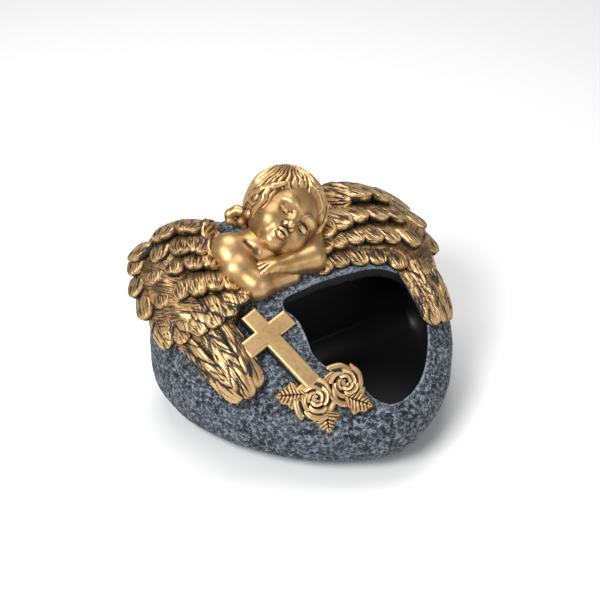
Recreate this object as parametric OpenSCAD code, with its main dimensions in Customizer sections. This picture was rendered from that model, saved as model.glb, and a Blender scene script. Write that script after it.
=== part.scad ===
// Heart-shaped stone-look memorial bowl with a sleeping gilt cherub, two wings,
// a cross and two roses. Millimetres, +Z up, the front tip of the heart towards -Y.

/* [Bowl] */
// Width of the bowl, flank to flank
bowl_w = 190; // [160:1:230]
// Depth of the bowl, front tip to the back of the lobes
bowl_d = 167; // [140:1:200]
// Height of the bowl's top face above the floor at the heart's centre
bowl_h = 98; // [80:1:112]
// Height at which the flanks are widest
belly_h = 27; // [22:1:32]
// Wall around the hollow
wall = 8; // [5:0.5:10]

/* [Opening] */
// Width of the opening in the top face
opening_w = 86; // [66:1:96]
// Depth of the opening in the top face
opening_d = 73; // [58:1:80]
// Rounding of the opening's lip
lip_r = 2.5; // [1:0.5:3.5]
// How far in front of the heart's widest line the hollow's back wall stands
hollow_back = 6; // [0:1:14]

/* [Base] */
// Height of the rubber feet
foot_h = 2; // [1:0.5:4]
// Diameter of a rubber foot
foot_d = 14; // [8:1:18]
// Height of the black floor inside the bowl
floor_z = 8; // [6:0.5:12]
// Width of the ledge that the base plate is glued against
ledge = 3; // [2:0.5:4]
// Glue gap around the base plate
plate_gap = 0.3; // [0.1:0.1:0.6]

/* [Cherub] */
// Diameter of the bare head
head_d = 45; // [36:0.5:50]
// Thickness of the hair over the head
hair_t = 3.2; // [2:0.2:5]
// Diameter of the forearms
forearm_d = 14; // [11:0.5:17]
// Diameter of a finger
finger_d = 4.6; // [3.5:0.1:6]

/* [Wings] */
// Thickness of a feather
feather_t = 5; // [4:0.2:6]
// Width of the shoulder feathers, the widest ones
feather_w = 23; // [18:0.5:26]
// Radius of the rounded wing blade under the feathers
blade_r = 6; // [5:0.2:8]

/* [Cross] */
// Length of the cross
cross_l = 56; // [44:1:62]
// Span of the cross's arms
cross_span = 36; // [26:1:40]
// Width of the cross's bars
cross_bar = 11; // [7:0.5:13]
// Height of the cross's face above the bowl
cross_t = 4.5; // [3:0.5:7]

/* [Flowers] */
// Diameter of a rose
rose_d = 21; // [16:0.5:24]
// Height of a rose above the bowl
rose_h = 8; // [6:0.5:11]
// Length of a leaf
leaf_l = 17; // [13:0.5:20]
// Thickness of a leaf
leaf_t = 3; // [2:0.2:4]

/* [Hidden] */

// The sculpted figures are set out on a heart of these sizes and follow the real one.
plan = [190, 167, 98];
k = [bowl_w / plan.x, bowl_d / plan.y, bowl_h / plan.z];
// The set-out drawing's zero lies this far off the middle of the object's box
set_out = [2.1, 13.5];
function at(p) = [(p.x + set_out.x) * k.x, (p.y + set_out.y) * k.y, p.z * k.z];

// The heart's outline is polar about a point on its axis: wide superellipse lobes
// behind, a long blunt point in front, and a cleft between the lobes.
centre_y = 12;
front_reach = 109;
lobe_reach = 62;
cleft_depth = 15;
cleft_spread = 24;
front_power = 1.65;
lobe_power = 2.75;
// Profile from the belly up to the top face, and from the belly in to the base
top_power = 2.8;
base_power = 1.9;
base_share = 0.8;
top_tilt = 0.46;
steps = 60;

function wrap(t) = t > 180 ? t - 360 : t;
function reach(t) = cos(t) > 0 ? lobe_reach : front_reach;
function power(t) = cos(t) > 0 ? lobe_power : front_power;
function outline(t) =
    pow(pow(abs(sin(t)) / (plan.x / 2), power(t)) + pow(abs(cos(t)) / reach(t), power(t)), -1 / power(t))
    - cleft_depth * exp(-pow(wrap(t) / cleft_spread, 2));
function lift(y) = plan.z - belly_h / k.z - top_tilt * centre_y + top_tilt * y;

// A point on the shell: t is the bearing from +Y, a the level from -90 (base) by
// 0 (belly) to 90 (top), inset how far inside the face, base_z where the base lies.
function share(a) = a < 0 ? base_share + (1 - base_share) * pow(max(cos(a), 0), 2 / base_power)
                          : pow(max(cos(a), 0), 2 / top_power);
function shell(t, a, inset = 0, base_z = foot_h) =
    let (r = outline(t) * share(a), y = centre_y + r * cos(t), p = at([r * sin(t), y, 0]),
         c = at([0, centre_y, 0]),
         z = a < 0 ? belly_h - (belly_h - base_z) * pow(-sin(a), 2 / base_power)
                   : belly_h + (lift(y) * k.z - inset) * pow(sin(a), 2 / top_power),
         pull = min(inset, norm([p.x, p.y - c.y])))
    [p.x - pull * sin(t), p.y - pull * cos(t), z];
levels = [-90, -60, -30, 0, 12, 24, 36, 48, 60, 72, 82];

// Height of the top face over a plan point given on the set-out heart
function top_z(x, y) =
    let (t = atan2(x, y - centre_y), s = min(norm([x, y - centre_y]) / outline(t), 1))
    belly_h + lift(y) * k.z * pow(1 - pow(s, top_power), 1 / top_power);
function on_top(x, y, h = 0) = let (p = at([x, y, 0])) [p.x, p.y, top_z(x, y) + h];

// A solid heart: rings of points level above level, closed by a flat base and a fan
// of facets around the top
module heart(inset = 0, base_z = foot_h) {
    rings = len(levels);
    c = on_top(0, centre_y);
    polyhedron(points = concat([for (a = levels) for (i = [0:steps - 1])
                                   shell(i * 360 / steps, a, inset, base_z)],
                               [c - [0, 0, inset]]),
               faces = concat([[for (i = [steps - 1:-1:0]) i]],
                              [for (j = [0:rings - 2]) for (i = [0:steps - 1])
                                  [j * steps + i, j * steps + (i + 1) % steps, (j + 1) * steps + i]],
                              [for (j = [0:rings - 2]) for (i = [0:steps - 1])
                                  [j * steps + (i + 1) % steps, (j + 1) * steps + (i + 1) % steps,
                                   (j + 1) * steps + i]],
                              [for (i = [0:steps - 1])
                                  [(rings - 1) * steps + i, (rings - 1) * steps + (i + 1) % steps,
                                   rings * steps]]));
}

// ---- Bowl ----
back_y = at([0, centre_y, 0]).y - hollow_back;
opening_c = [11, -47.5];
opening_plan = [86, 73];
opening_pts = [[-31, -17], [-27, -11.5], [-14, -11], [2, -11], [18, -12], [33, -13], [46, -17], [54, -25],
               [54, -37], [47, -52], [36, -66], [23, -77], [10, -83], [-2, -84], [-10, -78], [-14, -69],
               [-23, -58], [-29.5, -46], [-28, -35], [-27.5, -25]];
function loop(pts, i) = pts[(i + len(pts)) % len(pts)];
function spline(a, b, c, d, s) =
    0.5 * (2 * b + (c - a) * s + (2 * a - 5 * b + 4 * c - d) * s * s + (3 * b - a - 3 * c + d) * s * s * s);
opening = [for (i = [0:len(opening_pts) - 1]) for (s = [0, 0.5])
           let (q = spline(loop(opening_pts, i - 1), loop(opening_pts, i), loop(opening_pts, i + 1),
                           loop(opening_pts, i + 2), s))
           [(opening_c.x + (q.x - opening_c.x) * opening_w / opening_plan.x),
            (opening_c.y + (q.y - opening_c.y) * opening_d / opening_plan.y)]];

// The way down into the hollow, from the belly to above the top face: each level is
// how far the outline leans out, how much of the top face's height it follows, and
// its height beside that. The lip leans out over its last few millimetres.
cut_levels = [[0, 0, belly_h], [0, 1, -1.3 * lip_r], [0.35 * lip_r, 1, -0.4 * lip_r],
              [lip_r, 1, 0.25 * lip_r], [lip_r, 0, bowl_h * 1.5]];
module opening_cut() {
    n = len(opening);
    rings = [for (c = cut_levels) for (i = [0:n - 1])
             let (p = on_top(opening[i].x, opening[i].y),
                  a = on_top(loop(opening, i - 1).x, loop(opening, i - 1).y),
                  b = on_top(loop(opening, i + 1).x, loop(opening, i + 1).y),
                  d = [b.x - a.x, b.y - a.y] / norm([b.x - a.x, b.y - a.y]))
             [p.x - c[0] * d.y, p.y + c[0] * d.x, c[1] * p.z + c[2]]];
    top = len(cut_levels) - 1;
    polyhedron(points = rings,
               faces = concat([[for (i = [n - 1:-1:0]) i]],
                              [for (j = [0:top - 1]) for (i = [0:n - 1])
                                  [j * n + i, (j + 1) * n + (i + 1) % n, (j + 1) * n + i]],
                              [for (j = [0:top - 1]) for (i = [0:n - 1])
                                  [j * n + i, j * n + (i + 1) % n, (j + 1) * n + (i + 1) % n]],
                              [[for (i = [0:n - 1]) top * n + i]]));
}

module hollow(inset, base_z) {
    intersection() {
        heart(inset, base_z);
        translate([-bowl_w, back_y - 2 * bowl_d, 0])
            cube([2 * bowl_w, 2 * bowl_d, 2 * bowl_h]);
    }
}

module base_recess(gap, z0, z1) {
    pts = [for (i = [0:steps - 1]) let (p = shell(i * 360 / steps, -90, wall - ledge + gap))
           [p.x, min(p.y, back_y + ledge - gap)]];
    translate([0, 0, z0])
        linear_extrude(height = z1 - z0)
            polygon(pts);
}

module stone_bowl() {
    color("slategray")
        difference() {
            heart();
            hollow(wall, floor_z);
            base_recess(0, -1, floor_z);
            opening_cut();
        }
}

module base_plate() {
    color("black")
        base_recess(plate_gap, foot_h, floor_z);
}

foot_spots = [[-46, -32], [46, -32], [-58, 44], [58, 44]];
module foot_pads() {
    color("#1a1a1a")
        for (s = foot_spots)
            translate(at([s.x, s.y, 0]))
                cylinder(d = foot_d, h = foot_h, $fn = 48);
}

// ---- Cherub ----
head_at = [-2.5, 25.8, 117.6];
face_dir = [0.03, -0.784, 0.62];
crown_dir = [0.909, 0.28, 0.31];
side_dir = cross(face_dir, -crown_dir);
head_r = head_d / 2;
arm_r = forearm_d / 2;
shoulder_at = [-44.5, 20.5, 103];
upper_arm_at = [-45.5, 10, 98];
elbow_r_at = [-40.5, -1.5, 92.5];
under_arm_at = [-18, -3, 91];
far_arm_at = [9, 18, 98];
elbow_l_at = [-2.8, -2, 97];
forearm_at = [-17, -1.7, 98];
wrist_at = [-26.5, -1, 99.2];
chest_at = [-27, 18, 99];
far_shoulder_at = [4, 26, 98];
neck_at = [-23, 18, 105];

// A point on the head: f forward, u up to the crown, s towards its left ear, in radii
function on_head(f, u, s) = at(head_at) + head_r * (f * face_dir + u * crown_dir + s * side_dir);
// The face sits lower than the cranium and towards the cheek it lies on
function on_face(f, u, s) = on_head(0.93 * f, 0.93 * u - 0.38, 0.93 * s + 0.23);

module ball(p, r) {
    translate(p) sphere(r = r, $fn = 20);
}

module limb(p, q, r0, r1) {
    hull() {
        ball(p, r0);
        ball(q, r1);
    }
}

module head_form() {
    hull() {
        ball(on_head(-0.02, 0, 0.02), head_r * 0.98);
        ball(on_face(0.03, -0.05, 0), head_r * 0.9);
        ball(on_face(0.42, -0.72, 0), head_r * 0.42);
    }
}

module cherub_head() {
    color("#c8a060")
        union() {
            head_form();
            hull() {
                ball(on_face(0.93, -0.06, 0), head_r * 0.07);
                ball(on_face(1.02, -0.36, 0), head_r * 0.12);
            }
            ball(on_face(0.56, -0.46, 0.42), head_r * 0.34);
            ball(on_face(0.56, -0.46, -0.42), head_r * 0.34);
            ball(on_face(0.68, -0.86, 0), head_r * 0.2);
            ball(on_face(-0.05, -0.15, -0.98), head_r * 0.16);
        }
}

// Locks run from the crown over the skull; s0 and s1 are side and back swings
lock_count = 11;
function hair_pt(swing, run) =
    on_head(cos(swing) * sin(run), cos(run), sin(swing) * sin(run));
module lock(swing, run_end) {
    r = head_r * 0.2;
    for (j = [0:2]) {
        u = j * run_end / 3;
        v = (j + 1) * run_end / 3;
        hull() {
            translate(hair_pt(swing + 14 * sin(u * 3), u)) sphere(r = r + hair_t / 2, $fn = 8);
            translate(hair_pt(swing + 14 * sin(v * 3), v)) sphere(r = r + hair_t / 4, $fn = 8);
        }
    }
}

module hair_form() {
    for (i = [0:lock_count - 1]) {
        swing = i * 360 / lock_count;
        lock(swing, cos(swing) > 0.3 ? 52 : 112);
    }
}

module cherub_hair() {
    color("#b98f50")
        difference() {
            hair_form();
            head_form();
            arm_form_left();
            arm_form_right();
            torso_form();
            heart();
        }
}

module torso_form() {
    limb(at(shoulder_at), at(chest_at), 12, 13);
    limb(at(chest_at), at(far_shoulder_at), 13, 13);
    limb(at(chest_at), at(neck_at), 12, 11);
}

module arm_form_right() {
    limb(at(shoulder_at), at(upper_arm_at), arm_r * 1.6, arm_r * 1.5);
    limb(at(upper_arm_at), at(elbow_r_at), arm_r * 1.5, arm_r * 1.38);
    limb(at(elbow_r_at), at(under_arm_at), arm_r * 1.35, arm_r * 0.85);
}

module arm_form_left() {
    limb(at(far_arm_at), at(elbow_l_at), arm_r * 1.35, arm_r * 1.18);
    limb(at(elbow_l_at), at(forearm_at), arm_r * 1.18, arm_r * 0.95);
    limb(at(forearm_at), at(wrist_at), arm_r * 0.95, arm_r * 0.78);
}

module cherub_torso() {
    color("#c09555")
        difference() {
            torso_form();
            head_form();
            arm_form_left();
            arm_form_right();
            heart();
        }
}

module cherub_right_arm() {
    color("#c8a060")
        difference() {
            arm_form_right();
            head_form();
            arm_form_left();
            heart();
        }
}

module cherub_left_arm() {
    color("#c8a060")
        difference() {
            arm_form_left();
            head_form();
            heart();
        }
}

// Four fingers fan from the knuckles and drape over the other forearm
knuckle_at = [-32.5, 0.5, 100.8];
module cherub_left_hand() {
    color("#d2aa6a")
        difference() {
            union() {
                limb(at(wrist_at), at(knuckle_at), arm_r * 0.78, arm_r * 0.68);
                for (i = [0:3]) {
                    s = i - 1.5;
                    a = at(knuckle_at + [-0.8 * s, -2.2 * s, -0.9 * abs(s) + 0.8]);
                    b = a + [-4.6, 0.6 - 1.2 * s, -1.2];
                    c = b + [-2.4, 0.2 - 1 * s, -3.6];
                    limb(a, b, finger_d / 2, finger_d / 2);
                    limb(b, c, finger_d / 2, finger_d / 2.3);
                }
            }
            arm_form_left();
            arm_form_right();
            head_form();
            heart();
        }
}

// ---- Wings ----
// A blade is ribs from the leading edge to the trailing edge, shoulder to tip.
left_ribs = [[[-32, 50, 102], [-38, 38, 108], [-46, 24, 107]],
             [[-52, 58, 107], [-55, 42, 112], [-53, 20, 108]],
             [[-70, 57, 105], [-68, 38, 107], [-59, 10, 102]],
             [[-85, 50, 96], [-78, 28, 100], [-58, -2, 96]],
             [[-92, 38, 84], [-84, 16, 91], [-60, -8, 89]],
             [[-93, 22, 74], [-85, 4, 84], [-65, -12, 83]],
             [[-90, 6, 67], [-82, -8, 77], [-69, -18, 78]],
             [[-84, -20, 61], [-79, -22, 67], [-68, -28, 70]],
             [[-74, -43, 52], [-71, -44, 55], [-66, -43, 58]]];
right_ribs = [[[28, 48, 104], [26, 36, 106], [18, 14, 100]],
              [[48, 56, 98], [46, 38, 103], [28, 0, 93]],
              [[66, 55, 94], [60, 32, 100], [40, -4, 90]],
              [[81, 45, 85], [74, 24, 92], [50, -7, 87]],
              [[89, 28, 76], [82, 10, 85], [57, -11, 83]],
              [[91, 10, 70], [82, -4, 79], [62, -18, 77]],
              [[87, -8, 62], [77, -16, 73], [62, -28, 71]],
              [[77, -30, 56], [69, -36, 62], [60, -38, 64]],
              [[66, -49, 52], [62, -50, 54], [57, -49, 56]]];
// Each row of feathers runs from the trailing side to the leading edge: its count,
// the quill points, the tip points (first, middle, last) and its share of the width.
left_rows = [
    [4, [[-45, 36, 113], [-61, 47, 117], [-79, 57, 107]], [[-53, 21, 114], [-68, 33, 115], [-90, 50, 95]], 1],
    [5, [[-54, 21, 111], [-69, 34, 112], [-89, 52, 97]], [[-62, 6, 107], [-75, 24, 108], [-96, 42, 83]], 0.9],
    [6, [[-58, 8, 105], [-75, 26, 105], [-93, 42, 88]], [[-60, -4, 101], [-79, 15, 101], [-96, 28, 78]], 0.8],
    [6, [[-54, -2, 99], [-75, 12, 99], [-94, 30, 82]], [[-55, -16, 93], [-79, 1, 93], [-96, 8, 71]], 0.8],
    [5, [[-62, 2, 95], [-81, 8, 88], [-94, 18, 74]], [[-62, -14, 89], [-77, -16, 81], [-94, -4, 67]], 0.85],
    [3, [[-70, -12, 80], [-80, -8, 77], [-90, -1, 67]], [[-65, -44, 58], [-71, -47, 56], [-77, -45, 52]], 0.7]];
right_rows = [
    [4, [[27, 34, 108], [50, 40, 107], [76, 48, 94]], [[36, 14, 106], [60, 18, 103], [88, 24, 84]], 0.95],
    [5, [[20, 14, 103], [47, 18, 104], [82, 24, 90]], [[18, 3, 100], [47, 1, 99], [85, 3, 82]], 0.8],
    [6, [[10, 4, 99], [40, 0, 97], [80, 2, 85]], [[8, -5, 95], [38, -9, 91], [76, -16, 76]], 0.75],
    [6, [[8, -4, 94], [33, -7, 91], [68, -14, 80]], [[6, -10, 90], [32, -10.5, 87], [62, -30, 72]], 0.65],
    [3, [[60, -24, 75], [68, -20, 75], [78, -16, 70]], [[51, -55, 56], [57, -53.5, 55], [63, -50.5, 53]], 0.65]];
core = [0, 2, 30];
tip_thin = 0.6;
sink = 16;

function unit(v) = v / norm(v);
function through(p, s) = (1 - s) * (1 - 2 * s) * p[0] + 4 * s * (1 - s) * p[1] + s * (2 * s - 1) * p[2];

module rib(pts, r) {
    for (p = pts) {
        q = at(p);
        translate(q) sphere(r = r, $fn = 10);
        translate(q - sink * unit(q - at(core))) sphere(r = r, $fn = 10);
    }
}

module blade_form(ribs) {
    n = len(ribs) - 1;
    for (i = [0:n - 1])
        hull() {
            rib(ribs[i], blade_r * (1 - (1 - tip_thin) * i / n));
            rib(ribs[i + 1], blade_r * (1 - (1 - tip_thin) * (i + 1) / n));
        }
}

module feather(quill, tip, width) {
    run = unit(tip - quill);
    side = unit(cross(run, (quill + tip) / 2 - at(core)));
    r = feather_t / 2;
    hull() {
        translate(quill) sphere(r = r, $fn = 6);
        for (s = [-1, 1]) {
            translate(quill + (tip - quill) * 0.45 + s * side * (width / 2 - r)) sphere(r = r, $fn = 6);
            translate(tip - run * width * 0.22 + s * side * width * 0.3) sphere(r = r * 0.9, $fn = 6);
        }
        translate(tip) sphere(r = r * 0.8, $fn = 6);
    }
}

module row_form(row) {
    n = row[0];
    for (i = [0:n - 1]) {
        s = i / (n - 1);
        feather(at(through(row[1], s)), at(through(row[2], s)), feather_w * row[3]);
    }
}

module body_form() {
    torso_form();
    arm_form_right();
    arm_form_left();
    head_form();
}

module wing_row(rows, i, ribs) {
    color(i % 2 == 0 ? "#c49a58" : "#d6b074")
        difference() {
            row_form(rows[i]);
            blade_form(ribs);
            for (j = [i + 1:len(rows)])
                if (j < len(rows))
                    row_form(rows[j]);
            body_form();
            hair_form();
            heart();
        }
}

module wing_blade(ribs) {
    color("#8a6a3a")
        difference() {
            blade_form(ribs);
            body_form();
            hair_form();
            heart();
        }
}

module left_wing_blade() { wing_blade(left_ribs); }
module left_wing_scapulars() { wing_row(left_rows, 0, left_ribs); }
module left_wing_lesser_coverts() { wing_row(left_rows, 1, left_ribs); }
module left_wing_median_coverts() { wing_row(left_rows, 2, left_ribs); }
module left_wing_greater_coverts() { wing_row(left_rows, 3, left_ribs); }
module left_wing_secondaries() { wing_row(left_rows, 4, left_ribs); }
module left_wing_primaries() { wing_row(left_rows, 5, left_ribs); }
module right_wing_blade() { wing_blade(right_ribs); }
module right_wing_scapulars() { wing_row(right_rows, 0, right_ribs); }
module right_wing_lesser_coverts() { wing_row(right_rows, 1, right_ribs); }
module right_wing_median_coverts() { wing_row(right_rows, 2, right_ribs); }
module right_wing_greater_coverts() { wing_row(right_rows, 3, right_ribs); }
module right_wing_primaries() { wing_row(right_rows, 4, right_ribs); }

// ---- Cross ----
// Its right arm dips towards the opening, so the left arm stands prouder of the stone
cross_at = [-49, -25.5];
cross_foot = [-39.5, -57.5];
cross_side = [-33.5, -24.5];
cross_dip = [0, 0, 2.5];
crossing = 0.3;
cross_bury = 12;
module cross_form() {
    c = on_top(cross_at.x, cross_at.y);
    down = unit(on_top(cross_foot.x, cross_foot.y) - c);
    out = unit(cross(down, on_top(cross_side.x, cross_side.y) - cross_dip - c));
    side = cross(out, down);
    // Local X runs across the arms, Y up the stem, Z out of the face
    multmatrix([[side.x, -down.x, out.x, c.x], [side.y, -down.y, out.y, c.y],
                [side.z, -down.z, out.z, c.z], [0, 0, 0, 1]]) {
        translate([-cross_bar / 2, -cross_l * (1 - crossing), -cross_bury])
            cube([cross_bar, cross_l, cross_bury + cross_t]);
        translate([-cross_span / 2, -cross_bar / 2, -cross_bury])
            cube([cross_span, cross_bar, cross_bury + cross_t]);
    }
}

module cross_piece() {
    color("#d8b47c")
        difference() {
            cross_form();
            heart();
            row_form(left_rows[4]);
        }
}

// ---- Roses ----
rose_left_at = [-42, -64];
rose_right_at = [-24.5, -66];
petal_rings = [[6, 1, 0], [5, 0.68, 0.35], [3, 0.36, 0.7]];
rose_bury = 5;
function up_from(x, y) =
    unit(cross(on_top(x + 3, y) - on_top(x - 3, y), on_top(x, y + 3) - on_top(x, y - 3)));

module rose_form(spot, turn) {
    c = on_top(spot.x, spot.y);
    n = up_from(spot.x, spot.y);
    e = unit(cross([0, 1, 0], n));
    g = cross(n, e);
    hull() {
        translate(c - n * rose_bury) sphere(d = rose_d * 0.7, $fn = 12);
        translate(c + n * rose_h * 0.3) sphere(d = rose_d * 0.6, $fn = 12);
    }
    for (ring = petal_rings)
        for (i = [0:ring[0] - 1]) {
            a = turn + ring[2] * 90 + i * 360 / ring[0];
            v = e * cos(a) + g * sin(a);
            w = e * cos(a + 90) + g * sin(a + 90);
            rr = (rose_d / 2 - 2) * ring[1];
            z = rose_h * (0.35 + ring[2] * 0.45);
            hull() {
                translate(c + v * rr + w * rr * 0.4 + n * z) sphere(r = 1.8, $fn = 6);
                translate(c + v * rr - w * rr * 0.4 + n * z) sphere(r = 1.8, $fn = 6);
                translate(c + v * rr * 0.5 - n * 1) sphere(r = 2.6, $fn = 6);
            }
        }
}

module leaf_form(root, tip) {
    a = on_top(root.x, root.y, leaf_t * 0.6);
    far = on_top(tip.x, tip.y, leaf_t * 0.8);
    b = a + unit(far - a) * leaf_l;
    side = unit(cross(b - a, up_from(root.x, root.y)));
    for (s = [0:3])
        hull() {
            translate(a + (b - a) * s / 4) leaf_slice(side, leaf_half(s / 4));
            translate(a + (b - a) * (s + 1) / 4) leaf_slice(side, leaf_half((s + 1) / 4));
        }
}
function leaf_half(s) = leaf_l * 0.33 * sin(180 * pow(min(max(s, 0.04), 0.96), 0.8));
module leaf_slice(side, half) {
    translate(side * half) sphere(r = leaf_t / 2, $fn = 8);
    translate(-side * half) sphere(r = leaf_t / 2, $fn = 8);
}

module rose_left() {
    color("#c8a060")
        difference() {
            rose_form(rose_left_at, 20);
            cross_form();
            heart();
        }
}

module rose_right() {
    color("#c8a060")
        difference() {
            rose_form(rose_right_at, 50);
            rose_form(rose_left_at, 20);
            cross_form();
            heart();
        }
}

module leaf_piece(root, tip) {
    color("#b98f50")
        difference() {
            leaf_form(root, tip);
            rose_form(rose_left_at, 20);
            rose_form(rose_right_at, 50);
            cross_form();
            heart();
        }
}

module leaf_left() { leaf_piece([-46, -60], [-59, -52]); }
module leaf_front() { leaf_piece([-39, -69], [-41.5, -80]); }
module leaf_right() { leaf_piece([-27, -72], [-17, -81]); }

stone_bowl();
base_plate();
foot_pads();
cherub_torso();
cherub_head();
cherub_hair();
cherub_right_arm();
cherub_left_arm();
cherub_left_hand();
left_wing_blade();
left_wing_scapulars();
left_wing_lesser_coverts();
left_wing_median_coverts();
left_wing_greater_coverts();
left_wing_secondaries();
left_wing_primaries();
right_wing_blade();
right_wing_scapulars();
right_wing_lesser_coverts();
right_wing_median_coverts();
right_wing_greater_coverts();
right_wing_primaries();
cross_piece();  // cross
rose_left();
rose_right();
leaf_left();
leaf_front();
leaf_right();
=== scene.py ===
"""Looks of the heart-shaped memorial bowl with its sleeping gilt cherub."""
import math

import bpy
import numpy as np
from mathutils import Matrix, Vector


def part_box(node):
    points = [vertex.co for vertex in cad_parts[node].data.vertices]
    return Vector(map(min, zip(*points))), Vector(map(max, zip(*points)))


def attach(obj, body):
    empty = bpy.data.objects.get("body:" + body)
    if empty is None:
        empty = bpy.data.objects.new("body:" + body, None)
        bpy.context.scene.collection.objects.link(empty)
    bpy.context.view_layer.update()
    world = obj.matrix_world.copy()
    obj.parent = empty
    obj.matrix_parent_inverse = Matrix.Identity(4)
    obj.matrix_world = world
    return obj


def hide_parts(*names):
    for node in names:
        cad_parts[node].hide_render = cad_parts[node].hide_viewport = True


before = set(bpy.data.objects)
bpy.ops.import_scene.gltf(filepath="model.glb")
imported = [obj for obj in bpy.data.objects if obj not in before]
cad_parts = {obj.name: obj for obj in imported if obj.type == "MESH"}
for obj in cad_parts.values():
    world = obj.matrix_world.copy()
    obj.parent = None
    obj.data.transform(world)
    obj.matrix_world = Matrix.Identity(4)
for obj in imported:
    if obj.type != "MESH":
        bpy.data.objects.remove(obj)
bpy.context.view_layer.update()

import openvdb
from mathutils import Matrix, Vector

# ---------------------------------------------------------------- set-out frame
# Shapes are drawn in millimetres on the set-out heart of the CAD source and are
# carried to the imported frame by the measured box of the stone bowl.
BOWL_LO, BOWL_HI = (np.array(c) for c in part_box("stone_bowl"))
NOMINAL = np.array([189.95, 167.1, 106.65])
SCALE = np.array([(BOWL_HI[0] - BOWL_LO[0]), (BOWL_HI[1] - BOWL_LO[1]), BOWL_HI[2]]) / NOMINAL
SHIFT = np.array([2.1, 13.5, 0.0])
PLATE_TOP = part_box("base_plate")[1][2] / SCALE[2]
FOOT_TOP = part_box("foot_pads")[1][2] / SCALE[2]
HALF_W, CENTRE_Y, BELLY_Z = 95.0, 12.0, 27.0
FRONT, BACK, CLEFT, CLEFT_SPREAD = 109.0, 62.0, 15.0, math.radians(24)
FRONT_POWER, BACK_POWER = 1.65, 2.75
TOP_POWER, BASE_POWER, BASE_SHARE = 2.8, 1.9, 0.8
TILT = 0.46
TOP_LIFT = 98.0 - BELLY_Z - TILT * CENTRE_Y
WALL = 8.0
CORE = np.array([0.0, 2.0, 30.0])


def place(points):
    return (np.asarray(points, float) + SHIFT) * SCALE


def unit(v):
    v = np.asarray(v, float)
    return v / np.maximum(np.linalg.norm(v, axis=-1, keepdims=True), 1e-9)


def outline(t):
    s, c = np.abs(np.sin(t)), np.abs(np.cos(t))
    behind = np.cos(t) > 0
    m = np.where(behind, BACK_POWER, FRONT_POWER)
    reach = np.where(behind, BACK, FRONT)
    t = np.arctan2(np.sin(t), np.cos(t))
    return ((s / HALF_W) ** m + (c / reach) ** m) ** (-1 / m) - CLEFT * np.exp(-(t / CLEFT_SPREAD) ** 2)


def lift(y):
    return TOP_LIFT + TILT * y


def top_z(x, y):
    t = np.arctan2(x, y - CENTRE_Y)
    s = np.minimum(np.hypot(x, y - CENTRE_Y) / outline(t), 1)
    return BELLY_Z + lift(y) * (1 - s ** TOP_POWER) ** (1 / TOP_POWER)


def on_top(x, y, h=0.0):
    return np.array([x, y, float(top_z(np.float64(x), np.float64(y))) + h])


def top_normal(x, y):
    e = 2.0
    a = on_top(x + e, y) - on_top(x - e, y)
    b = on_top(x, y + e) - on_top(x, y - e)
    return unit(np.cross(a, b))


# ---------------------------------------------------------------- noise
def lattice(ix, iy, iz, seed):
    n = (ix * 374761393 + iy * 668265263 + iz * 2147483647 + seed * 1274126177) & 0x7FFFFFFF
    n = ((n ^ (n >> 13)) * 1274126177) & 0x7FFFFFFF
    return ((n ^ (n >> 16)) & 0xFFFF) / 65535.0


def value_noise(p, size, seed=0):
    q = p / size
    i = np.floor(q).astype(np.int64)
    f = q - i
    f = f * f * (3 - 2 * f)
    total = 0
    for dx in (0, 1):
        for dy in (0, 1):
            for dz in (0, 1):
                w = (np.where(dx, f[:, 0], 1 - f[:, 0]) * np.where(dy, f[:, 1], 1 - f[:, 1])
                     * np.where(dz, f[:, 2], 1 - f[:, 2]))
                total = total + w * lattice(i[:, 0] + dx, i[:, 1] + dy, i[:, 2] + dz, seed)
    return total


def cell_noise(p, size, seed=0):
    """Distance to the nearest random point, in cells."""
    q = p / size
    i = np.floor(q).astype(np.int64)
    best = np.full(len(p), 9.0)
    for dx in (-1, 0, 1):
        for dy in (-1, 0, 1):
            for dz in (-1, 0, 1):
                c = i + np.array([dx, dy, dz])
                r = np.stack([lattice(c[:, 0], c[:, 1], c[:, 2], seed + s) for s in (1, 2, 3)], -1)
                best = np.minimum(best, np.linalg.norm(c + r - q, axis=1))
    return best


def step(a, b, x):
    t = np.clip((x - a) / (b - a), 0, 1)
    return t * t * (3 - 2 * t)


# ---------------------------------------------------------------- solids as fields
def smin(a, b, k):
    if k <= 0:
        return np.minimum(a, b)
    h = np.maximum(k - np.abs(a - b), 0) / k
    return np.minimum(a, b) - h * h * k / 4


def smax(a, b, k):
    return -smin(-a, -b, k)


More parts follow.
